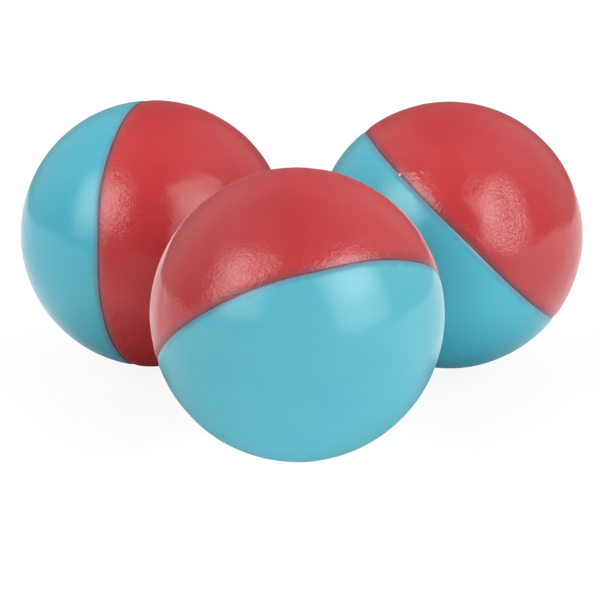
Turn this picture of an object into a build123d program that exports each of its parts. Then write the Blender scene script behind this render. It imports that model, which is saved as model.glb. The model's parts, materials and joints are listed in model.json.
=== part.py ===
"""A set of three two-tone gelatin balls of 0.68 calibre, standing in a triangle on a flat surface.

Each ball is built as it is made: a red and a turquoise gelatin shell, welded edge to edge along one seam,
round a liquid paint fill that leaves a small level air pocket at the top. The seam is a thin dark line at the
bottom of a shallow groove, with a low bead on its inside. The weld is rarely halfway between the poles, so
every ball has its own seam offset and lies with its red pole pointing its own way.

The frame is +Z up, +X right and +Y back, in millimetres, with the origin on the surface that the balls stand
on, under the middle of the set.
"""

from build123d import *

import os
from math import asin, atan2, cos, degrees, hypot, radians, sin, sqrt

# The ball
ball_diameter = 17.3
ball_gap = 0.1  # free space between the front ball and each ball behind it

# The shells, with walls that grow from the pole to the seam
pole_wall = 0.30
seam_wall = 0.42
red_shoulder = 0.60  # height over which the red shell rounds down into the groove
turquoise_shoulder = 0.35

# The weld between the shells
groove_depth = 0.07
seam_line_width = 0.12  # width of the weld where it shows outside
seam_root_width = 0.50  # width of the weld at the inside wall
bead_height = 0.12

# The fill
fill_clearance = 0.03  # film between the weld's bead and the fill, which the shells turn round
air_pocket_depth = 1.6

# Where the balls behind stand: bearings from straight back, about the front ball
left_bearing = 32.1
right_bearing = 34.2

# Where each red pole points, as a direction from the ball's centre, and how far the seam plane lies from the
# centre towards it
front_red_azimuth = 115.1
front_red_elevation = 48.8
front_seam_offset = -0.46
left_red_azimuth = -15.7
left_red_elevation = 2.4
left_seam_offset = -0.81
right_red_azimuth = 10.1
right_red_elevation = 44.8
right_seam_offset = 1.02

ball_radius = ball_diameter / 2
ball_spacing = ball_diameter + ball_gap


def ball_centres():
    """The three centres, with the set's bounding box centred on the origin and its foot at Z = 0."""
    left_x = -ball_spacing * sin(radians(left_bearing))
    left_y = ball_spacing * cos(radians(left_bearing))
    right_x = ball_spacing * sin(radians(right_bearing))
    right_y = ball_spacing * cos(radians(right_bearing))
    middle_x = (left_x + right_x) / 2
    middle_y = max(left_y, right_y) / 2
    front = Vector(-middle_x, -middle_y, ball_radius)
    left = Vector(left_x - middle_x, left_y - middle_y, ball_radius)
    right = Vector(right_x - middle_x, right_y - middle_y, ball_radius)
    return front, left, right


def direction(azimuth, elevation):
    """Unit vector at an azimuth from +X towards +Y and an elevation above the horizon, in degrees."""
    level = cos(radians(elevation))
    return Vector(level * cos(radians(azimuth)), level * sin(radians(azimuth)), sin(radians(elevation)))


def meridian_plane(centre, pole, azimuth):
    """Plane through the seam's axis: its X runs out from the axis and its Y runs along it, towards the pole."""
    out = Vector(-sin(radians(azimuth)), cos(radians(azimuth)), 0)
    return Plane(origin=centre, x_dir=out, z_dir=out.cross(pole))


def groove_radius(seam_offset):
    """Distance from the seam's axis to the bottom of the groove."""
    return sqrt(ball_radius**2 - seam_offset**2) - groove_depth


def bead_reach(seam_offset):
    """Distance from the ball's centre to the tip of the bead inside."""
    return hypot(groove_radius(seam_offset) - seam_wall - bead_height, seam_offset)


def make_shell(centre, pole, azimuth, seam_offset, shoulder, label):
    """The shell on the pole's side of the seam, as a solid of revolution about the seam's axis."""
    groove = groove_radius(seam_offset)
    groove_edge = (groove, seam_offset + seam_line_width / 2)
    root_edge = (groove - seam_wall, seam_offset + seam_root_width / 2)
    shoulder_angle = degrees(asin((seam_offset + seam_line_width / 2 + shoulder) / ball_radius))

    # The inner wall is a sphere on the same axis, through the weld's root and the inside of the pole.
    inner_pole = ball_radius - pole_wall
    root_span = inner_pole**2 - root_edge[0] ** 2 - root_edge[1] ** 2
    inner_centre = root_span / (2 * (inner_pole - root_edge[1]))
    root_angle = degrees(atan2(root_edge[1] - inner_centre, root_edge[0]))

    with BuildPart() as shell:
        with BuildSketch(meridian_plane(centre, pole, azimuth)):
            with BuildLine():
                outer = CenterArc((0, 0), ball_radius, shoulder_angle, 90 - shoulder_angle)
                TangentArc(outer @ 0, groove_edge, tangent=-(outer % 0))
                Line(groove_edge, root_edge)
                CenterArc((0, inner_centre), inner_pole - inner_centre, root_angle, 90 - root_angle)
                Line((0, inner_pole), (0, ball_radius))
            make_face()
        revolve(axis=Axis(centre, pole))
    shell.part.label = label
    return shell.part


def make_seam_weld(centre, pole, azimuth, seam_offset, label):
    """The fused ring between the shells: narrow at the groove, wide at its root, with a rounded bead inside."""
    groove = groove_radius(seam_offset)
    root = groove - seam_wall
    with BuildPart() as weld:
        with BuildSketch(meridian_plane(centre, pole, azimuth)):
            with BuildLine():
                line = Line(
                    (groove, seam_offset - seam_line_width / 2),
                    (groove, seam_offset + seam_line_width / 2),
                )
                bead = ThreePointArc(
                    (root, seam_offset + seam_root_width / 2),
                    (root - bead_height, seam_offset),
                    (root, seam_offset - seam_root_width / 2),
                )
                Line(line @ 1, bead @ 0)
                Line(bead @ 1, line @ 0)
            make_face()
        revolve(axis=Axis(centre, pole))
    weld.part.label = label
    return weld.part


def make_paint_fill(centre, seam_offset, label):
    """The liquid: a ball that clears the bead, with its level surface under the air pocket."""
    fill_radius = min(bead_reach(seam_offset), ball_radius - pole_wall) - fill_clearance
    with BuildPart(Plane(centre)) as fill:
        Sphere(fill_radius)
        split(bisect_by=Plane(centre).offset(fill_radius - air_pocket_depth), keep=Keep.BOTTOM)
    fill.part.label = label
    return fill.part


def make_ball(name, centre, azimuth, elevation, seam_offset):
    """All pieces of one ball."""
    red_pole = direction(azimuth, elevation)
    turquoise_pole = -red_pole
    return [
        make_shell(centre, red_pole, azimuth, seam_offset, red_shoulder, name + "_red_shell"),
        make_shell(
            centre, turquoise_pole, azimuth, -seam_offset, turquoise_shoulder, name + "_turquoise_shell"
        ),
        make_seam_weld(centre, red_pole, azimuth, seam_offset, name + "_seam_weld"),
        make_paint_fill(centre, seam_offset, name + "_paint_fill"),
    ]


front_centre, left_centre, right_centre = ball_centres()
pieces = [
    *make_ball("front", front_centre, front_red_azimuth, front_red_elevation, front_seam_offset),
    *make_ball("left", left_centre, left_red_azimuth, left_red_elevation, left_seam_offset),
    *make_ball("right", right_centre, right_red_azimuth, right_red_elevation, right_seam_offset),
]

os.makedirs("parts", exist_ok=True)
for piece in pieces:
    export_step(piece, f"parts/{piece.label}.step")
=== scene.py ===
import json
import math

import bpy
import numpy as np
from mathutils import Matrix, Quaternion, Vector

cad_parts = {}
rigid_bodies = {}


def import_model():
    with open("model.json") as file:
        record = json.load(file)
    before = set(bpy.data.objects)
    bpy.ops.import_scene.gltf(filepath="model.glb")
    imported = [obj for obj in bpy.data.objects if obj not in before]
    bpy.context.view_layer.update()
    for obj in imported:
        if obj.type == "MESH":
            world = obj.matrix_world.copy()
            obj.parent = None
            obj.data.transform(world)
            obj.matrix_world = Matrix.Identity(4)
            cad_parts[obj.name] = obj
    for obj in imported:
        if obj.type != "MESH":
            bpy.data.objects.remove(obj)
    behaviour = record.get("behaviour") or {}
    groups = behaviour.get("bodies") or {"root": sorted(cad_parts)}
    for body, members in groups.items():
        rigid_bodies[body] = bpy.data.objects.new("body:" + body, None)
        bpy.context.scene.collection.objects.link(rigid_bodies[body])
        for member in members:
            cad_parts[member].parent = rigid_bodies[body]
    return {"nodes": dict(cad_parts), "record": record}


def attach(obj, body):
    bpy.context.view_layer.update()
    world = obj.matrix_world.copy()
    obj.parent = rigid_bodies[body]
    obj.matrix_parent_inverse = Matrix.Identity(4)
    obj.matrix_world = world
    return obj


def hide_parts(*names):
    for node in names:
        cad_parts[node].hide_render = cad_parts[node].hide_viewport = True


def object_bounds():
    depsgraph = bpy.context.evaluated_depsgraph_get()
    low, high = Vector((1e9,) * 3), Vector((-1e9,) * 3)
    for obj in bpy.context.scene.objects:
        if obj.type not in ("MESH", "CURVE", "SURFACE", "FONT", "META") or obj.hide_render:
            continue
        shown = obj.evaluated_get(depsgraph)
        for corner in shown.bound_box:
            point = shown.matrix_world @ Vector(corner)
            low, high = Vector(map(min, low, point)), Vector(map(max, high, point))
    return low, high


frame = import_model()
cadLow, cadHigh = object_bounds()
mm = 0.001  # the shapes are worked out in millimetres and written in metres

# Where the balls are comes from the record's mounts: each ball stands on its foot.
mountPlaces = {m["name"]: Vector(m["pos_m"]) for m in frame["record"]["mounts"]}
ballRadius = (mountPlaces["barrel_fit"].z - mountPlaces["front_foot"].z) / mm
setCentre = (cadLow + cadHigh) / 2


def ballCentre(name):
    foot = mountPlaces[name + "_foot"] / mm
    return np.array([foot.x, foot.y, foot.z + ballRadius])


# What differs between the balls, in degrees and mm: the way the red pole points, and where the seam lies
# along that axis. Seam waves are (waves round the ball, height, phase). A mark is (angle round the seam,
# distance from the seam, length, width, turn, height). A grain patch is the same, with a share in place of
# the height. A comb of fine lines square to the seam is (angle, spread, reach, height). Matt is how far from
# the seam the skin is rougher, grainReach multiplies the gelatin's own reach, and tones multiply its colour:
# partly each ball's own dye, and partly painted light and shade that makes each ball's halves lighter or
# darker than the lamps make them.
balls = {
    "front": {
        "body": "front_ball",
        "azimuth": 115.1,
        "elevation": 48.8,
        "seamOffset": -0.41,
        "seamWaves": [(5, 0.040, -51), (9, 0.033, 33), (10, 0.017, -5)],
        "seed": 11,
        "grainReach": 2.8,
        "redMatt": 0.2,
        "turquoiseMatt": 0.15,
        "redGrain": [(-126, 1.9, 2.2, 1.4, 0, 0.8)],
        "redTone": (0.995, 0.98, 0.98),
        "turquoiseTone": (1.19, 1.025, 1.005),
        "redCombs": [(-63, 13, 1.1, 0.0045), (130, 25, 0.9, 0.0035)],
        "redMarks": [(-131, 1.0, 0.30, 0.18, 20, 0.010), (-118, 1.3, 0.35, 0.20, -30, -0.010)],
        "turquoiseMarks": [(62, 1.4, 0.30, 0.20, 0, 0.006)],
    },
    "left": {
        "body": "left_skin",
        "azimuth": -15.7,
        "elevation": 2.4,
        "seamOffset": -0.73,
        "seamWaves": [(3, 0.020, 12), (6, 0.056, 66), (10, 0.015, 161)],
        "seed": 23,
        "grainReach": 2.4,
        "redMatt": 0.2,
        "turquoiseMatt": 0.15,
        "redGrain": [(-25, 1.5, 3.0, 1.4, 0, 1.15)],
        "redTone": (0.98, 0.885, 0.895),
        "turquoiseTone": (0.86, 0.97, 0.985),
        "redCombs": [(-150, 20, 0.9, 0.0035)],
        "redMarks": [
            (-27.5, 2.50, 0.60, 0.16, 70, 0.030),
            (-29.0, 2.10, 0.45, 0.22, 60, -0.024),
            (-60.2, 3.46, 0.18, 0.18, 0, -0.016),
            (-89.0, 2.10, 0.15, 0.13, 0, 0.030),
            (-86.0, 2.50, 0.14, 0.12, 30, 0.026),
            (-84.5, 2.25, 0.20, 0.12, -40, -0.024),
            (-80.0, 3.00, 0.15, 0.12, 0, 0.020),
        ],
        "turquoiseMarks": [(-95, 1.2, 0.20, 0.15, 0, 0.005)],
    },
    "right": {
        "body": "right_skin",
        "azimuth": 10.1,
        "elevation": 44.8,
        "seamOffset": 1.02,
        "seamWaves": [(5, 0.025, 90), (9, 0.012, 42), (10, 0.014, -144)],
        "seed": 37,
        "grainReach": 1.0,
        "redMatt": 0.2,
        "turquoiseMatt": 0.28,
        "redGrain": [(-9, 3.0, 2.6, 1.4, -35, 2.3), (-45, 0.5, 1.5, 0.6, 0, 0.9)],
        "redTone": (1.0, 1.035, 1.035),
        "turquoiseTone": (0.93, 1.085, 1.095),
        "redCombs": [(-52, 5, 1.0, 0.0040), (160, 25, 0.8, 0.0035)],
        "redMarks": [
            (-53.0, 0.70, 0.18, 0.13, 30, 0.026),
            (-51.0, 1.10, 0.15, 0.12, -20, 0.026),
            (-50.0, 0.70, 0.17, 0.12, 60, 0.024),
            (-48.0, 1.45, 0.34, 0.15, 20, 0.009),
            (-11.0, 3.10, 0.60, 0.35, 40, 0.024),
            (-18.0, 3.90, 0.50, 0.30, -30, -0.024),
            (-6.0, 4.60, 0.24, 0.14, 10, 0.022),
            (-9.5, 5.20, 0.22, 0.13, 50, 0.022),
        ],
        "turquoiseMarks": [
            (-46.2, 0.76, 0.34, 0.20, 25, 0.014),
            (-41.0, 0.55, 0.45, 0.16, 10, 0.009),
        ],
        "bead": {
            "angle": -56.7,
            "distance": -0.05,
            "width": 0.10,
            "length": 0.13,
            "height": 0.06,
            "sunk": 0.03,
        },
    },
}

shellSizes = {  # millimetres
    "poleWall": 0.30,
    "seamWall": 0.42,
    "grooveDepth": 0.055,
    "seamLineWidth": 0.09,
    "seamRootWidth": 0.50,
    "beadHeight": 0.12,
    "weldBulge": 0.3,  # of half the seam line's width
    "clearance": 0.032,  # how far the skin lies inside the nominal ball, so that no mark stands proud
    "highest": -0.001,  # what a mark may reach, measured from the nominal ball
}

# The lip rolls down over the shoulder. Waves are (length, height) of the swell over the whole half, in mm.
redLook = {"shoulder": 0.55, "waves": [(2.6, 0.0085), (1.2, 0.0035), (0.55, 0.0009)]}
turquoiseLook = {"shoulder": 0.34, "waves": [(3.4, 0.0040), (1.1, 0.0006)]}
relief = {
    "lipPower": 1.9,  # 1 is a bevel and 2 a parabola
    "swellStart": 0.8,  # mm from the seam to where the swell is full
    "swellWaves": 50,
    "swellLengths": (0.7, 1.4),  # times the swell's own length
    "combStart": 0.1,  # mm from the seam to where a comb is full
    "combWaves": 30,
    "combCounts": (190, 330),  # waves round the ball
    "combDrift": 6.0,
    "turquoiseSeed": 100,  # added to the ball's own seed
}

meshGrid = {
    "around": 900,
    "outerRows": 100,
    "innerRows": 6,
    "rowGrowth": 2.8,  # rows lie e to this power closer together at the seam than at the pole
    "weldFace": 7,  # points across the weld's outer face
    "weldBead": 9,  # and round its inner bead
    "beadAround": 28,
    "beadRows": 15,
    "sharpAngle": 40,  # degrees
}


def poleDirection(azimuth, elevation):
    a, e = math.radians(azimuth), math.radians(elevation)
    return np.array([math.cos(e) * math.cos(a), math.cos(e) * math.sin(a), math.sin(e)])


def seamAxes(ball):
    # The seam's own axes: the red pole, a level direction square to it, and their cross product.
    pole = poleDirection(ball["azimuth"], ball["elevation"])
    a = math.radians(ball["azimuth"])
    across = np.array([math.sin(a), -math.cos(a), 0.0])
    return pole, across, np.cross(pole, across)


def roundSeam(ball):
    # The red pole, the angles round it, and the unit vector straight out from its axis at each angle.
    pole, across, third = seamAxes(ball)
    angle = np.arange(meshGrid["around"])[None, :] * (2 * math.pi / meshGrid["around"])
    return pole, angle, np.cos(angle)[..., None] * across + np.sin(angle)[..., None] * third


def seamWobble(angle, waves):
    # Sum of cosines round the ball: height * cos(count * angle + phase).
    return sum(h * np.cos(k * angle + math.radians(p)) for k, h, p in waves)


def fineLines(angle, along, rng):
    # Random lines square to the seam: cosines with a whole number of waves round the ball and a slow drift
    # along it, each with its own random phase, added and scaled to a spread of about one.
    number = relief["combWaves"]
    counts = rng.integers(*relief["combCounts"], number)
    drifts = rng.uniform(-relief["combDrift"], relief["combDrift"], number)
    phases = rng.uniform(0, 2 * math.pi, number)
    total = np.zeros(np.broadcast(angle, along).shape)
    for count, turn, phase in zip(counts, drifts, phases):
        total += np.cos(count * angle + turn * along + phase)
    return total / math.sqrt(number / 2)


def swell(points, rng, length):
    # Random swell with no direction: plane waves through space, of about one length, added and scaled.
    number = relief["swellWaves"]
    turns = rng.normal(size=(number, 3))
    turns /= np.linalg.norm(turns, axis=1)[:, None]
    rates = 2 * math.pi / (length * rng.uniform(*relief["swellLengths"], number))
    phases = rng.uniform(0, 2 * math.pi, number)
    total = np.zeros(points.shape[:-1])
    for turn, rate, phase in zip(turns, rates, phases):
        total += np.cos(points @ (turn * rate) + phase)
    return total / math.sqrt(number / 2)


def angleGap(angle, degrees):
    # Signed difference of two angles, brought into half a turn either way.
    return (angle - math.radians(degrees) + math.pi) % (2 * math.pi) - math.pi


def markRelief(angle, along, marks):
    # Each mark is a long round hill or dent: height * exp(-(u / length)^2 - (v / width)^2), with u and v
    # the distances round and away from the seam, turned by the mark's own angle.
    total = np.zeros(np.broadcast(angle, along).shape)
    for place, distance, length, width, turn, height in marks:
        across = angleGap(angle, place) * ballRadius * math.cos(distance / ballRadius)
        away = along - distance
        c, s = math.cos(math.radians(turn)), math.sin(math.radians(turn))
        u = c * across + s * away
        v = -s * across + c * away
        total += height * np.exp(-((u / length) ** 2) - (v / width) ** 2)
    return total


def combRelief(angle, along, combs, rng):
    # Fine lines that show only near one angle and fade away from the seam:
    # height * lines * exp(-(angle / spread)^2) * exp(-(distance / reach)^2).
    total = np.zeros(np.broadcast(angle, along).shape)
    for place, spread, reach, height in combs:
        lines = fineLines(angle, along, rng)
        near = np.exp(-((angleGap(angle, place) / math.radians(spread)) ** 2))
        faded = np.exp(-((along / reach) ** 2)) * np.clip(along / relief["combStart"], 0, 1)
        total += height * lines * near * faded
    return total


def makeMesh(name, points, faces, attributes):
    mesh = bpy.data.meshes.new(name)
    mesh.from_pydata((points * mm).tolist(), [], faces)
    for key, (kind, values) in attributes.items():
        field = mesh.attributes.new(key, kind, "POINT")
        word = "vector" if kind == "FLOAT_VECTOR" else "value"
        field.data.foreach_set(word, np.ascontiguousarray(values, dtype=np.float32).ravel())
    mesh.shade_smooth()
    mesh.set_sharp_from_angle(angle=math.radians(meshGrid["sharpAngle"]))
    piece = bpy.data.objects.new(name, mesh)
    bpy.context.scene.collection.objects.link(piece)
    return piece


def gridFaces(rows, around):
    # Quads between neighbouring rows of a grid that closes on itself sideways.
    i = np.arange(rows - 1)[:, None] * around
    j = np.arange(around)[None, :]
    k = (j + 1) % around
    return np.stack([i + j, i + k, i + around + k, i + around + j], -1).reshape(-1, 4)


def closedFaces(rows, around, order):
    # The same grid, closed at each end by a fan round a point of its own. The two points come after the
    # grid's. Order is 1, or -1 to turn every face over.
    j = np.arange(around)
    k = (j + 1) % around
    count = rows * around
    last = count - around
    topFan = np.stack([np.full(around, count), k, j], -1)
    endFan = np.stack([np.full(around, count + 1), last + j, last + k], -1)
    parts = (gridFaces(rows, around), topFan, endFan)
    return [face for part in parts for face in part[:, ::order].tolist()]


def makeShell(name, ball, colour, look):
    # A half-shell as one closed surface: rows run from the outside pole down to the seam, in along the
    # weld's side and back up the inside. The red pole's half is side 1 and the other is side -1.
    side = 1 if colour == "red" else -1
    rng = np.random.default_rng(ball["seed"] + (0 if side > 0 else relief["turquoiseSeed"]))
    pole, angle, outward = roundSeam(ball)
    pole = pole * side
    middle = side * (ball["seamOffset"] + seamWobble(angle, ball["seamWaves"]))

    # Outer wall: (radius + rise) * (cos(polar) * pole + sin(polar) * outward). The distance from the seam is
    # length * (e^(growth * step) - 1) / (e^growth - 1), so the rows spread out towards the pole.
    edgePolar = np.arccos((middle + shellSizes["seamLineWidth"] / 2) / ballRadius)
    length = ballRadius * edgePolar
    step = np.linspace(0, 1, meshGrid["outerRows"] + 1)[:-1, None]
    spread = np.expm1(meshGrid["rowGrowth"] * step) / math.expm1(meshGrid["rowGrowth"])
    along = length * spread
    polar = edgePolar - along / ballRadius
    direction = np.cos(polar)[..., None] * pole + np.sin(polar)[..., None] * outward

    # The lip rolls down to the groove: depth * (1 - distance / shoulder)^power. The swell, the marks and
    # the fine lines lie on top.
    lipShare = np.clip(1 - along / look["shoulder"], 0, 1)
    rise = -shellSizes["grooveDepth"] * lipShare ** relief["lipPower"] - shellSizes["clearance"]
    awayFromLip = np.clip(along / relief["swellStart"], 0, 1)
    for waveLength, waveHeight in look["waves"]:
        rise += waveHeight * swell(direction * ballRadius, rng, waveLength) * awayFromLip
    rise += markRelief(angle, along, ball[colour + "Marks"])
    rise += combRelief(angle, along, ball.get(colour + "Combs", []), rng)
    outer = direction * (ballRadius + np.minimum(rise, shellSizes["highest"]))[..., None]

    # Inner wall: an arc from the weld's root to the inside pole, with its centre on the seam's axis:
    # (centre + arc radius * cos(polar)) * pole + arc radius * sin(polar) * outward.
    rootRadius = math.sqrt(ballRadius**2 - ball["seamOffset"] ** 2)
    rootRadius -= shellSizes["grooveDepth"] + shellSizes["seamWall"]
    rootHeight = middle + shellSizes["seamRootWidth"] / 2
    innerPole = ballRadius - shellSizes["poleWall"]
    arcCentre = (innerPole**2 - rootRadius**2 - rootHeight**2) / (2 * (innerPole - rootHeight))
    arcRadius = innerPole - arcCentre
    rootPolar = np.arctan2(rootRadius, rootHeight - arcCentre)
    innerPolar = rootPolar * np.linspace(1, 0, meshGrid["innerRows"] + 1)[:-1, None]
    innerHeight = arcCentre + arcRadius * np.cos(innerPolar)
    innerOut = arcRadius * np.sin(innerPolar)
    inner = innerHeight[..., None] * pole + innerOut[..., None] * outward

    grid = np.concatenate([outer[::-1], inner])  # outside pole first, inside pole last
    rows, around = grid.shape[:2]
    tops = np.stack([pole * (ballRadius - shellSizes["clearance"]), pole * innerPole])
    points = np.concatenate([grid.reshape(-1, 3), tops]) + ballCentre(ball["name"])

    # What the materials read: the distance from the seam, the place along it, and the patches' shares.
    distance = np.concatenate([along[::-1], np.repeat(length, len(inner), 0)])
    ring = np.stack([np.cos(angle), np.sin(angle)], -1) * ballRadius
    place = np.concatenate([np.repeat(ring, rows, 0), distance[..., None]], -1)
    topPlaces = np.array([[0, 0, length.mean()]] * len(tops))
    patch = markRelief(angle, along, ball.get(colour + "Grain", []))[::-1].ravel()
    attributes = {
        "grainPatch": ("FLOAT", np.concatenate([patch, np.zeros(len(points) - len(patch))])),
        "seamDistance": ("FLOAT", np.concatenate([distance.ravel(), topPlaces[:, 2]])),
        "seamPlace": ("FLOAT_VECTOR", np.concatenate([place.reshape(-1, 3), topPlaces])),
    }
    return makeMesh(name, points, closedFaces(rows, around, -side), attributes)


def makeWeld(name, ball):
    # The weld is a closed ring: its section is carried round the seam line. The section is half an ellipse
    # at the bottom of the groove and half an ellipse, the bead, on the inside. Each of its points becomes
    # height * pole + distance from the axis * outward.
    pole, angle, outward = roundSeam(ball)
    middle = ball["seamOffset"] + seamWobble(angle, ball["seamWaves"])
    groove = math.sqrt(ballRadius**2 - ball["seamOffset"] ** 2)
    groove -= shellSizes["grooveDepth"] + shellSizes["clearance"]
    root = groove - shellSizes["seamWall"]
    half = shellSizes["seamLineWidth"] / 2
    rootHalf = shellSizes["seamRootWidth"] / 2
    # section as (height from the seam's middle, distance from the axis)
    faceTurns = np.linspace(math.pi, 0, meshGrid["weldFace"])
    face = [(half * math.cos(t), groove + shellSizes["weldBulge"] * half * math.sin(t)) for t in faceTurns]
    beadTurns = np.linspace(0, math.pi, meshGrid["weldBead"])
    bead = [(rootHalf * math.cos(t), root - shellSizes["beadHeight"] * math.sin(t)) for t in beadTurns]
    section = np.array(face + bead)
    height = middle + section[:, 0][:, None]
    outFrom = np.repeat(section[:, 1][:, None], meshGrid["around"], 1)
    grid = height[..., None] * pole + outFrom[..., None] * outward
    rows, around = grid.shape[:2]
    faces = gridFaces(rows + 1, around) % (rows * around)
    points = grid.reshape(-1, 3) + ballCentre(ball["name"])
    return makeMesh(name, points, faces.tolist(), {})


def makeBead(name, ball, bead):
    # A drop on the seam: a closed ellipsoid, flattened along the skin's normal and sunk a little in. Its
    # pale colour is a painted glint.
    # Point = middle + width * cos(rise) * cos(turn) * level + length * cos(rise) * sin(turn) * down
    # + height * sin(rise) * normal.
    pole, across, third = seamAxes(ball)
    angle = math.radians(bead["angle"])
    outward = math.cos(angle) * across + math.sin(angle) * third
    rim = ball["seamOffset"] + seamWobble(angle, ball["seamWaves"]) + bead["distance"]
    normal = (rim * pole + math.sqrt(ballRadius**2 - rim**2) * outward) / ballRadius
    level = np.cross(normal, [0, 0, 1])
    level /= np.linalg.norm(level)
    down = np.cross(normal, level)
    turn = np.linspace(0, 2 * math.pi, meshGrid["beadAround"], endpoint=False)[None, :]
    rise = np.linspace(math.pi / 2, -math.pi / 2, meshGrid["beadRows"])[1:-1, None]
    middle = normal * (ballRadius - bead["sunk"])
    grid = middle + (bead["width"] * np.cos(rise) * np.cos(turn))[..., None] * level
    grid = grid + (bead["length"] * np.cos(rise) * np.sin(turn))[..., None] * down
    grid = grid + (bead["height"] * np.sin(rise) * np.ones_like(turn))[..., None] * normal
    tops = np.stack([middle + bead["height"] * normal, middle - bead["height"] * normal])
    points = np.concatenate([grid.reshape(-1, 3), tops]) + ballCentre(ball["name"])
    return makeMesh(name, points, closedFaces(*grid.shape[:2], -1), {})


# Materials. Two effects are shared by the gelatins, as node groups that work in millimetres.
def newTree(nodes, links):
    # A short way to add nodes: add(kind, settings, inputs). An input is a value or another node's output.
    def add(kind, settings=None, inputs=None):
        node = nodes.new(kind)
        for key, value in (settings or {}).items():
            setattr(node, key, value)
        for key, value in (inputs or {}).items():
            if isinstance(value, bpy.types.NodeSocket):
                links.new(value, node.inputs[key])
            else:
                node.inputs[key].default_value = value
        return node

    return add


def newGroup(name, inputs, outputs):
    group = bpy.data.node_groups.new(name, "ShaderNodeTree")
    for way, sockets in (("INPUT", inputs), ("OUTPUT", outputs)):
        for kind, socketNames in sockets.items():
            for socketName in socketNames:
                group.interface.new_socket(name=socketName, in_out=way, socket_type="NodeSocket" + kind)
    add = newTree(group.nodes, group.links)
    return group, add, add("NodeGroupInput").outputs, add("NodeGroupOutput").inputs


def maths(add, operation, a, b):
    return add("ShaderNodeMath", {"operation": operation}, {0: a, 1: b}).outputs[0]


def multiply(add, a, b):
    return maths(add, "MULTIPLY", a, b)


def vectorMaths(add, operation, *values):
    node = add("ShaderNodeVectorMath", {"operation": operation}, dict(enumerate(values)))
    return node.outputs["Value" if operation in ("LENGTH", "DISTANCE", "DOT_PRODUCT") else "Vector"]


def mixColours(add, factor, a, b):
    node = add("ShaderNodeMix", {"data_type": "RGBA"}, {"Factor": factor, "A": a, "B": b})
    return node.outputs["Result"]


def mixShaders(add, factor, a, b):
    return add("ShaderNodeMixShader", None, {0: factor, 1: a, 2: b}).outputs[0]


def fade(add, value, start, end, low=0.0, high=1.0):
    # Smooth step from low, where the value is at start, to high where it is at end.
    values = {"Value": value, "From Min": start, "From Max": end, "To Min": low, "To Max": high}
    return add("ShaderNodeMapRange", {"interpolation_type": "SMOOTHSTEP"}, values).outputs["Result"]


def noise(add, place, scale, detail=1.0, roughness=0.5):
    values = {"Vector": place, "Scale": scale, "Detail": detail, "Roughness": roughness}
    return add("ShaderNodeTexNoise", None, values).outputs["Fac"]


# Scales are in noise cells per mm. A fade is (noise from, to, result from, to).
grainPattern = {
    "edgeScale": 0.8,
    "edgeFade": (0.3, 0.7, 0.55, 1.45),  # share of the reach
    "fullShare": 0.2,  # of the reach, within which the grain is full
    "patchScale": 0.4,
    "patchDetail": 1.5,
    "patchFade": (0.42, 0.66, 0.0, 0.6),
    "curlScale": 1.3,
    "curl": 0.25,  # mm
    "detail": 2.0,
    "roughness": 0.6,
}
stainPattern = {
    "depthScale": 0.22,
    "depthFade": (0.35, 0.65),  # from skin to deep skin
    "edgeScale": 2.2,
    "edgeFade": (0.3, 0.7, 0.75, 1.25),  # share of the reach
    "detail": 2.0,
    # how far the painted shade over the lip reaches, beyond the stain
    "seamShadeReach": 2.5,  # times the stain's own
}


def buildSeamGrain():
    # Fine strokes left by the drying gelatin, square to the seam and curling: full near the seam, where
    # their edge wanders, and thinner in patches further out. Coarser skin lies in the same patches. Height
    # is in mm about zero, and Mask says where the grain is.
    sizes = ["Reach", "Grain Scale", "Stretch", "Grain Height", "Peel Scale", "Peel Height"]
    group, add, given, result = newGroup(
        "seamGrain",
        {"Vector": ["Place", "Seam Place"], "Float": ["Distance", "Patch"] + sizes},
        {"Float": ["Height", "Mask"]},
    )
    place = given["Place"]
    wander = fade(add, noise(add, place, grainPattern["edgeScale"]), *grainPattern["edgeFade"])
    reach = multiply(add, given["Reach"], wander)
    near = fade(add, given["Distance"], reach, multiply(add, reach, grainPattern["fullShare"]))
    cells = noise(add, place, grainPattern["patchScale"], grainPattern["patchDetail"])
    mask = maths(add, "MAXIMUM", near, fade(add, cells, *grainPattern["patchFade"]))
    mask = maths(add, "MAXIMUM", mask, given["Patch"])

    curlCells = {"Vector": place, "Scale": grainPattern["curlScale"], "Detail": 1.0}
    curl = add("ShaderNodeTexNoise", None, curlCells).outputs["Color"]
    curled = vectorMaths(add, "MULTIPLY_ADD", curl, [grainPattern["curl"]] * 3, given["Seam Place"])
    shape = add("ShaderNodeCombineXYZ", None, {0: 1.0, 1: 1.0, 2: given["Stretch"]}).outputs["Vector"]
    strokes = vectorMaths(add, "MULTIPLY", curled, shape)
    grain = noise(add, strokes, given["Grain Scale"], grainPattern["detail"], grainPattern["roughness"])
    peel = noise(add, place, given["Peel Scale"])
    heights = []
    for cells, height in ((grain, given["Grain Height"]), (peel, given["Peel Height"])):
        centred = maths(add, "SUBTRACT", cells, 0.5)
        heights.append(multiply(add, multiply(add, centred, mask), height))
    group.links.new(maths(add, "ADD", *heights), result["Height"])
    group.links.new(mask, result["Mask"])
    return group


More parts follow.
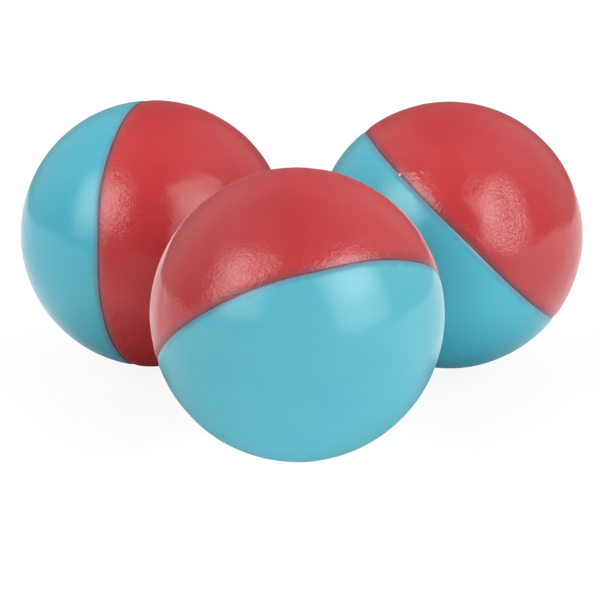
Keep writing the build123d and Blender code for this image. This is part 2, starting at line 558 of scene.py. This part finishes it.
def buildSeamStainAndShade():
    # Colour of a skin: its own, with slow changes of depth, going over into painted shade over the lip near
    # the seam and then the stain at the seam. The edge is uneven.
    colours = ["Skin", "Deep Skin", "Halo", "Stain"]
    group, add, given, result = newGroup(
        "seamStainAndShade",
        {"Vector": ["Place"], "Float": ["Distance", "Reach"], "Color": colours},
        {"Color": ["Color"]},
    )
    depthCells = noise(add, given["Place"], stainPattern["depthScale"], stainPattern["detail"])
    slow = fade(add, depthCells, *stainPattern["depthFade"])
    edgeCells = noise(add, given["Place"], stainPattern["edgeScale"], stainPattern["detail"])
    reach = multiply(add, given["Reach"], fade(add, edgeCells, *stainPattern["edgeFade"]))
    # painted shade: the skin darkened over the lip, reaching further from the seam than the stain
    wide = fade(add, given["Distance"], multiply(add, reach, stainPattern["seamShadeReach"]), reach)
    near = fade(add, given["Distance"], reach, 0.0)
    skin = mixColours(add, slow, given["Skin"], given["Deep Skin"])
    seamShaded = mixColours(add, wide, skin, given["Halo"])
    group.links.new(mixColours(add, near, seamShaded, given["Stain"]), result["Color"])
    return group


seamGrain = buildSeamGrain()
seamStainAndShade = buildSeamStainAndShade()

redGelatin = {
    "skin": (0.558, 0.047, 0.049),
    "deepSkin": (0.533, 0.042, 0.045),
    # painted shade: the red skin darkened over the lip next to the seam
    "halo": (0.425, 0.050, 0.058),
    "stain": (0.26, 0.060, 0.080),
    "stainReach": 0.22,
    "grainReach": 1.0,
    "grainScale": 5.0,
    "grainStretch": 1.1,
    "grainHeight": 0.031,
    "peelScale": 3.0,
    "peelHeight": 0.012,
    "roughness": (0.17, 0.22),  # of the smooth skin and of the grain
    "lipMatt": 1.3,  # how much rougher the skin is right at the seam
    "ior": 1.5,
    "specular": 0.55,
    "sheen": 0.60,
    "sheenRoughness": 0.30,
    "sheenTint": (0.72, 0.17, 0.23),
}
turquoiseGelatin = {
    "skin": (0.095, 0.478, 0.588),
    "deepSkin": (0.088, 0.462, 0.574),
    # painted shade: the turquoise skin darkened over the lip next to the seam, with a trace of the red dye
    "halo": (0.115, 0.365, 0.475),
    "stain": (0.20, 0.25, 0.33),
    "stainReach": 0.18,
    "grainReach": 0.25,
    "grainScale": 7.0,
    "grainStretch": 0.6,
    "grainHeight": 0.006,
    "peelScale": 0.9,
    "peelHeight": 0.012,
    "roughness": (0.18, 0.21),
    "lipMatt": 1.8,
    "ior": 1.5,
    "specular": 0.41,
    "sheen": 0.60,
    "sheenRoughness": 0.30,
    "sheenTint": (0.38, 0.70, 0.80),
}
# Plainer pieces: two close colours in soft streaks.
fusedGelatin = {
    "colour": (0.17, 0.078, 0.10),
    "streak": (0.11, 0.045, 0.06),
    "scale": 1.2,
    "roughness": 0.30,
}
paintFill = {
    "colour": (0.85, 0.83, 0.75),
    "streak": (0.78, 0.76, 0.69),
    "scale": 0.25,
    "roughness": 0.25,
}
# pale lilac-white: a painted glint on the drop at the seam
driedBead = {
    "colour": (0.60, 0.54, 0.66),
    "streak": (0.50, 0.44, 0.56),
    "scale": 4.0,
    "roughness": 0.22,
}
streakPattern = {"detail": 3.0, "fade": (0.35, 0.65)}


def newMaterial(name):
    material = bpy.data.materials.new(name)
    material.use_nodes = True
    material.node_tree.nodes.clear()
    return material, newTree(material.node_tree.nodes, material.node_tree.links)


def millimetres(add):
    # Object coordinates, in mm.
    place = add("ShaderNodeTexCoord").outputs["Object"]
    scaled = add("ShaderNodeVectorMath", {"operation": "SCALE"}, {0: place, "Scale": 1 / mm})
    return scaled.outputs["Vector"]


def opaque(colour):
    return (*colour, 1)


def gelatinMaterial(name, ball, colour, gelatin):
    material, add = newMaterial(name)
    place = millimetres(add)
    distance = add("ShaderNodeAttribute", {"attribute_name": "seamDistance"}).outputs["Fac"]
    # painted light and shade: this ball's tone lightens or darkens its skin, on top of the gelatin's own
    # colour
    toneAndShade = ball[colour + "Tone"]
    tonedAndShaded = {key: opaque([c * t for c, t in zip(gelatin[key], toneAndShade)]) for key in ("skin", "deepSkin")}
    stain = add(
        "ShaderNodeGroup",
        {"node_tree": seamStainAndShade},
        {
            "Place": place,
            "Distance": distance,
            "Skin": tonedAndShaded["skin"],
            "Deep Skin": tonedAndShaded["deepSkin"],
            # painted shade next to the seam
            "Halo": opaque(gelatin["halo"]),
            "Stain": opaque(gelatin["stain"]),
            "Reach": gelatin["stainReach"],
        },
    )
    grain = add(
        "ShaderNodeGroup",
        {"node_tree": seamGrain},
        {
            "Place": place,
            "Seam Place": add("ShaderNodeAttribute", {"attribute_name": "seamPlace"}).outputs["Vector"],
            "Distance": distance,
            "Patch": add("ShaderNodeAttribute", {"attribute_name": "grainPatch"}).outputs["Fac"],
            "Reach": gelatin["grainReach"] * ball["grainReach"],
            "Grain Scale": gelatin["grainScale"],
            "Stretch": gelatin["grainStretch"],
            "Grain Height": gelatin["grainHeight"],
            "Peel Scale": gelatin["peelScale"],
            "Peel Height": gelatin["peelHeight"],
        },
    )
    polish = fade(add, grain.outputs["Mask"], 0.0, 1.0, *gelatin["roughness"])
    matt = fade(add, distance, 0.0, ball[colour + "Matt"], gelatin["lipMatt"], 1.0)
    bump = add("ShaderNodeBump", None, {"Strength": 1.0, "Distance": mm, "Height": grain.outputs["Height"]})
    shader = add(
        "ShaderNodeBsdfPrincipled",
        None,
        {
            "Base Color": stain.outputs["Color"],
            "Roughness": multiply(add, polish, matt),
            "IOR": gelatin["ior"],
            "Specular IOR Level": gelatin["specular"],
            "Sheen Weight": gelatin["sheen"],
            "Sheen Roughness": gelatin["sheenRoughness"],
            "Sheen Tint": opaque(gelatin["sheenTint"]),
            "Normal": bump.outputs["Normal"],
        },
    )
    add("ShaderNodeOutputMaterial", None, {"Surface": shader.outputs["BSDF"]})
    return material


def streakedMaterial(name, finish):
    material, add = newMaterial(name)
    streaks = noise(add, millimetres(add), finish["scale"], streakPattern["detail"])
    streaks = fade(add, streaks, *streakPattern["fade"])
    mixed = mixColours(add, streaks, opaque(finish["colour"]), opaque(finish["streak"]))
    shader = add("ShaderNodeBsdfPrincipled", None, {"Base Color": mixed, "Roughness": finish["roughness"]})
    add("ShaderNodeOutputMaterial", None, {"Surface": shader.outputs["BSDF"]})
    return material


weldMaterial = streakedMaterial("fusedGelatin", fusedGelatin)
fillMaterial = streakedMaterial("paintFill", paintFill)
# the bead's colour is a painted glint
beadMaterial = streakedMaterial("driedBead", driedBead)
print("gelatins mixed")

halves = (("red", redLook, redGelatin), ("turquoise", turquoiseLook, turquoiseGelatin))
for name, ball in balls.items():
    ball["name"] = name
    for colour, look, gelatin in halves:
        piece = makeShell(f"{name}_{colour}_skin", ball, colour, look)
        piece.data.materials.append(gelatinMaterial(f"{name}_{colour}_gelatin", ball, colour, gelatin))
        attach(piece, ball["body"])
        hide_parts(f"{name}_{colour}_shell")
    weld = makeWeld(f"{name}_seam_line", ball)
    weld.data.materials.append(weldMaterial)
    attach(weld, ball["body"])
    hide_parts(f"{name}_seam_weld")
    for slot in frame["nodes"][f"{name}_paint_fill"].material_slots:
        slot.material = fillMaterial
    if "bead" in ball:
        bead = makeBead(f"{name}_dried_bead", ball, ball["bead"])
        bead.data.materials.append(beadMaterial)
        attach(bead, ball["body"])
    print("ball made:", name)

# Lamps stand round the set and face its middle. Each is (azimuth, elevation, roll) in degrees, (width,
# height) in metres, the radiance at the middle, the share of it that is left at the rim, and what it lights:
# some of the balls, the floor, or everything. Boxes light things and are mirrored in them. Mirrored boxes
# are only seen in the gloss of one ball, as its own copy of a box or as a box's bright middle. Fills
# brighten the skins but aren't mirrored in them.
everything = ()
studio = {
    "boxDistance": 0.55,  # metres
    "boxEdge": 0.12,  # share of each half side over which a lamp fades out
    "rimReach": 1.25,  # half sides from the middle to where the radiance is down to the rim's
    "boxes": {
        "leftBox": ((-124, 34, 18), (0.49, 0.54), 3.5, 0.45, ("left", "right", "floor")),
        "rightBox": ((127, 30, 0), (0.51, 0.57), 2.9, 0.62, ("floor",)),
        "rightBoxRight": ((131, 30, 0), (0.46, 0.57), 2.9, 0.62, ("right",)),
        "rightLow": ((131, 13, 0), (0.30, 0.28), 0.9, 0.6, everything),
    },
    "mirroredBoxes": {
        "rightBoxFront": ((127.4, 30.3, 0), (0.51, 0.57), 2.9, 0.62, ("front",)),
        "leftBoxFront": ((-124.4, 34.3, 18), (0.49, 0.54), 3.5, 0.45, ("front",)),
        "rightBoxLeft": ((132.5, 31.5, -14), (0.55, 0.57), 2.7, 0.62, ("left",)),
        "leftCoreFront": ((-121, 39, 32), (0.36, 0.26), 2.6, 0.0, ("front",)),
        "leftCoreLeft": ((-122, 37, 22), (0.46, 0.36), 2.2, 0.2, ("left",)),
        "rightCoreFront": ((126, 37, 0), (0.48, 0.32), 3.9, 0.0, ("front",)),
        "rightCoreRight": ((130.5, 32, 0), (0.32, 0.44), 4.4, 0.0, ("right",)),
        "rightCoreLeft": ((124, 36, 0), (0.30, 0.26), 1.7, 0.0, ("left",)),
        "leftCoreRight": ((-129, 40, 0), (0.46, 0.40), 3.6, 0.0, ("right",)),
    },
    "fills": {
        "backFill": ((0, 62, 0), (0.50, 0.50), 1.28, 1.0, everything),
        "rightFill": ((90, 45, 0), (0.50, 0.50), 0.46, 1.0, everything),
        "nearRight": ((184, 12, 0), (0.50, 0.50), 0.30, 1.0, ("right",)),
        "leftFillFront": ((-123, 33, 0), (0.45, 0.50), 1.75, 1.0, ("front",)),
        "rightFillLeft": ((127, 35, 0), (0.50, 0.55), 2.45, 1.0, ("left",)),
        "rightFillFront": ((124, 25, 0), (0.50, 0.55), 1.95, 1.0, ("front",)),
        "nearFront": ((178, 14, 0), (0.45, 0.45), 1.1, 1.0, ("front",)),
        "crownFront": ((0, 28, 0), (0.50, 0.50), 2.5, 1.0, ("front",)),
        "crownLeft": ((-8, 28, 0), (0.50, 0.50), 0.6, 1.0, ("left",)),
        "crownRight": ((8, 28, 0), (0.50, 0.50), 0.8, 1.0, ("right",)),
    },
}
room = {
    "radiance": 0.14,
    # soft glows, as azimuth, elevation, half-width in degrees and radiance
    "glows": [(-52, 25, 41, 0.58), (52, 25, 42, 0.50), (-88, 60, 32, 0.34), (88, 60, 32, 0.34)],
}
paper = {  # metres
    "back": 0.30,
    "front": 0.6,
    "side": 0.7,
    "colour": 0.82,
    "white": 1.06,
    # by the distance from the middle, how much of the white the camera sees in place of the lit paper
    "whiteShare": (0.09, 0.18, 0.85, 1.0),
    "glossEdge": 0.06,  # behind this the balls mirror the room in place of the paper
    # How white the gloss of the balls sees the paper: less in front than at the sides and behind, by the
    # cosine of the turn from straight back, and dark close round each foot.
    "glossTurn": (-0.85, -0.30, 0.38, 1.02),
    "glossFar": (0.045, 0.09, 1.0, 1.3),  # whiter towards the horizon
    "glossAfar": (0.013, 0.019),  # a rear foot's shade isn't seen from further away than this
    "glossFoot": {"front": (0.002, 0.011), "left": (0.004, 0.018), "right": (0.004, 0.018)},
    "glossShift": 0.32,  # how far each shade is moved from its foot to the front ball's
    # the light that the paper adds from below, just in front of the front ball
    "liftPlace": (0.0, -0.012, 0.0),
    "lift": (0.012, 0.005, 0.0, 0.46),
}


def compass(azimuth, elevation):
    # Unit vector, with the azimuth from straight back (+Y) round to the right (+X).
    a, e = math.radians(azimuth), math.radians(elevation)
    return Vector((math.cos(e) * math.sin(a), math.cos(e) * math.cos(a), math.sin(e)))


def lightGroup(names):
    # The pieces that a lamp is linked to, one group for each set of names.
    label = "And".join(names) + "Lit"
    if label not in bpy.data.collections:
        group = bpy.data.collections.new(label)
        for name in names:
            for piece in litPieces[name]:
                group.objects.link(piece)
    return bpy.data.collections[label]


def addLamp(name, aim, size, radiance, rim, lights):
    # A flat lamp. Its light falls from the middle to the rim as a smooth hill, and fades out at the edge:
    # (rim + (1 - rim) * hill(distance from the middle)) * fade(across) * fade(up).
    azimuth, elevation, roll = aim
    width, height = size
    lamp = bpy.data.lights.new(name, "AREA")
    lamp.shape = "RECTANGLE"
    lamp.size = width
    lamp.size_y = height
    lamp.energy = radiance * math.pi * width * height
    lamp.use_nodes = True
    add = newTree(lamp.node_tree.nodes, lamp.node_tree.links)
    emission = next(n for n in lamp.node_tree.nodes if n.type == "EMISSION")
    place = add("ShaderNodeNewGeometry").outputs["Parametric"]  # 0 to 1 across and up
    centred = vectorMaths(add, "MULTIPLY_ADD", place, (2, 2, 0), (-1, -1, 0))  # -1 to 1 across and up
    split = add("ShaderNodeSeparateXYZ", None, {0: vectorMaths(add, "ABSOLUTE", centred)})
    strength = fade(add, vectorMaths(add, "LENGTH", centred), studio["rimReach"], 0.0, rim)
    for axis in "XY":
        strength = multiply(add, strength, fade(add, split.outputs[axis], 1.0, 1.0 - studio["boxEdge"]))
    lamp.node_tree.links.new(strength, emission.inputs["Strength"])
    holder = bpy.data.objects.new(name, lamp)
    bpy.context.scene.collection.objects.link(holder)
    toward = compass(azimuth, elevation)
    holder.location = setCentre + toward * studio["boxDistance"]
    turned = Quaternion((0, 0, 1), math.radians(roll))
    holder.rotation_euler = ((-toward).to_track_quat("-Z", "Y") @ turned).to_euler()
    holder.visible_camera = False
    if lights != everything:
        holder.light_linking.receiver_collection = lightGroup(lights)
    return holder


def makeWorld():
    # A dim room with soft glows, and plain white where the camera looks past the paper.
    world = bpy.data.worlds.new("studioWorld")
    bpy.context.scene.world = world
    world.use_nodes = True
    world.node_tree.nodes.clear()
    add = newTree(world.node_tree.nodes, world.node_tree.links)
    place = add("ShaderNodeTexCoord").outputs["Generated"]
    strength = room["radiance"]
    for azimuth, elevation, halfWidth, radiance in room["glows"]:
        turn = vectorMaths(add, "DOT_PRODUCT", place, compass(azimuth, elevation))
        glow = fade(add, turn, math.cos(math.radians(halfWidth)), 1.0, 0.0, radiance)
        strength = maths(add, "ADD", glow, strength)
    dim = add("ShaderNodeBackground", None, {"Strength": strength})
    white = add("ShaderNodeBackground", None, {"Color": opaque((1, 1, 1))})
    cameraRay = add("ShaderNodeLightPath").outputs["Is Camera Ray"]
    surface = mixShaders(add, cameraRay, dim.outputs[0], white.outputs[0])
    add("ShaderNodeOutputWorld", None, {"Surface": surface})


def paperGloss(add, place, ray):
    # How white the balls' gloss sees the paper:
    # fade(turn from straight back) * fade(distance of the look) * fade(distance from each foot).
    backward = add("ShaderNodeSeparateXYZ", None, {0: vectorMaths(add, "NORMALIZE", place)}).outputs["Y"]
    length = ray.outputs["Ray Length"]
    glow = multiply(add, fade(add, backward, *paper["glossTurn"]), fade(add, length, *paper["glossFar"]))
    fromAfar = fade(add, length, *paper["glossAfar"])
    for name in balls:
        foot = mountPlaces[name + "_foot"].lerp(mountPlaces["front_foot"], paper["glossShift"])
        shade = fade(add, vectorMaths(add, "DISTANCE", place, foot), *paper["glossFoot"][name])
        if name != "front":
            shade = maths(add, "MAXIMUM", shade, fromAfar)
        glow = multiply(add, glow, shade)
    return glow


def paperMaterial():
    # The camera sees the paper mostly as plain white, with the balls' faint shade left in.
    material, add = newMaterial("paper")
    place = add("ShaderNodeTexCoord").outputs["Object"]
    ray = add("ShaderNodeLightPath")
    matt = add("ShaderNodeBsdfDiffuse", None, {"Color": opaque([paper["colour"]] * 3)})
    liftAway = vectorMaths(add, "DISTANCE", place, paper["liftPlace"])
    lift = add("ShaderNodeEmission", None, {"Strength": fade(add, liftAway, *paper["lift"])})
    lit = add("ShaderNodeAddShader", None, {0: matt.outputs[0], 1: lift.outputs[0]})
    plain = add("ShaderNodeEmission", None, {"Strength": paper["white"]})
    share = fade(add, vectorMaths(add, "LENGTH", place), *paper["whiteShare"])
    seen = multiply(add, ray.outputs["Is Camera Ray"], share)
    looked = mixShaders(add, seen, lit.outputs[0], plain.outputs[0])
    glossy = add("ShaderNodeEmission", None, {"Strength": paperGloss(add, place, ray)})
    clear = add("ShaderNodeBsdfTransparent")
    placeBack = add("ShaderNodeSeparateXYZ", None, {0: place}).outputs["Y"]
    beyond = maths(add, "GREATER_THAN", placeBack, paper["glossEdge"])
    mirrored = mixShaders(add, beyond, glossy.outputs[0], clear.outputs[0])
    surface = mixShaders(add, ray.outputs["Is Glossy Ray"], looked, mirrored)
    add("ShaderNodeOutputMaterial", None, {"Surface": surface})
    return material


# The balls don't show up in each other's gloss.
litPieces = {name: [] for name in balls}
for piece in bpy.context.scene.objects:
    if piece.type == "MESH":
        piece.visible_glossy = False
        litPieces[piece.name.split("_")[0]].append(piece)

corners = [(-1, -paper["front"]), (1, -paper["front"]), (1, paper["back"]), (-1, paper["back"])]
floorMesh = bpy.data.meshes.new("floor")
floorMesh.from_pydata([(x * paper["side"], y, 0) for x, y in corners], [], [(0, 1, 2, 3)])
floorMesh.materials.append(paperMaterial())
floor = bpy.data.objects.new("floor", floorMesh)
bpy.context.scene.collection.objects.link(floor)
litPieces["floor"] = [floor]

for name, lamp in studio["boxes"].items():
    addLamp(name, *lamp)
for name, lamp in studio["mirroredBoxes"].items():
    addLamp(name, *lamp).visible_diffuse = False
for name, lamp in studio["fills"].items():
    addLamp(name, *lamp).visible_glossy = False
makeWorld()
print("studio lit by", sum(len(studio[kind]) for kind in ("boxes", "mirroredBoxes", "fills")), "lamps")

shot = {
    "elevation": 20.936,  # degrees above the horizon
    "distance": 14.85,  # ball radii from the front ball's centre
    "aim": (0.0186, 0.0, 0.1062),  # ball radii from the front ball's centre
    "lens": 131.54,  # mm
    "sensor": 36,
    "clip": (0.005, 10),  # metres
}
cameraData = bpy.data.cameras.new("camera")
camera = bpy.data.objects.new("camera", cameraData)
bpy.context.scene.collection.objects.link(camera)
radius = ballRadius * mm
frontCentre = Vector((ballCentre("front") * mm).tolist())
aim = frontCentre + radius * Vector(shot["aim"])
camera.location = frontCentre + radius * shot["distance"] * compass(180, shot["elevation"])
camera.rotation_euler = (aim - camera.location).to_track_quat("-Z", "Y").to_euler()
cameraData.lens = shot["lens"]
cameraData.sensor_width = shot["sensor"]
cameraData.clip_start, cameraData.clip_end = shot["clip"]
bpy.context.scene.camera = camera
bpy.context.scene.view_settings.view_transform = "Standard"
print("camera ready")
